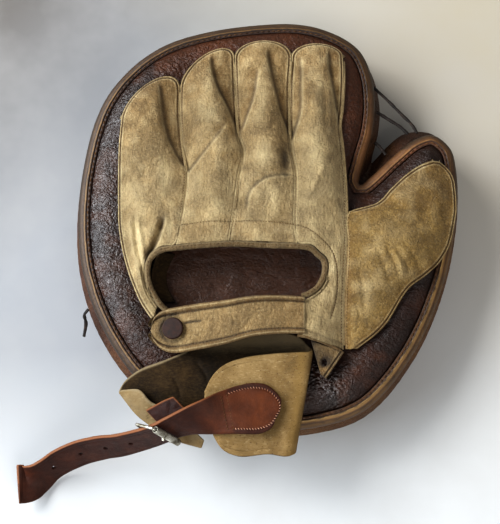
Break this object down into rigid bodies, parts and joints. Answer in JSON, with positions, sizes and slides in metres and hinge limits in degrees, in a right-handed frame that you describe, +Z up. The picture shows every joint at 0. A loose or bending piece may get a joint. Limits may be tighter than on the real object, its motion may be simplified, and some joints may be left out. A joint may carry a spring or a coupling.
{
  "type": "catcher's mitt",
  "caption": "Antique leather catcher's mitt: padded round body, sewn finger and thumb stalls, buttoned wrist band and a cuff closed by a buckled strap.",
  "frame": {"origin": "on the floor under the middle of the mitt's box, as it lies palm down", "axes": "+Z up out of the mitt's back, +Y towards the fingertips, +X towards the thumb"},
  "size_m": [0.3149, 0.3427, 0.076],
  "materials": {
    "palm_leather": "worn brown leather, satin",
    "back_leather": "dark brown pebbled leather, glossy",
    "binding_leather": "worn brown strip leather",
    "tan_leather": "stained buckskin, matt",
    "flesh_leather": "olive brown flesh side, matt",
    "strap_leather": "red brown bridle leather, satin",
    "button_enamel": "worn brown enamel",
    "nickel": "worn nickel plate",
    "lace_leather": "dark leather lace"
  },
  "bodies": {
    "root": {"palm_pad": "palm_leather", "back_panel": "back_leather", "edge_binding": "binding_leather", "little_stall": "tan_leather", "ring_stall": "tan_leather", "middle_stall": "tan_leather", "index_stall": "tan_leather", "thumb_stall": "tan_leather", "window_bead": "tan_leather", "pouch_wall": "flesh_leather", "wrist_band": "tan_leather", "wrist_button": "button_enamel", "heel_tab": "tan_leather", "wrist_cuff": "tan_leather", "cuff_left_flap": "tan_leather", "buckle_strap": "strap_leather", "buckle_frame": "nickel", "buckle_roller": "nickel", "buckle_prong": "nickel", "buckle_tab": "strap_leather", "web_lace_1": "lace_leather", "web_lace_2": "lace_leather", "web_lace_3": "lace_leather", "side_lace": "lace_leather"}
  },
  "joints": []
}
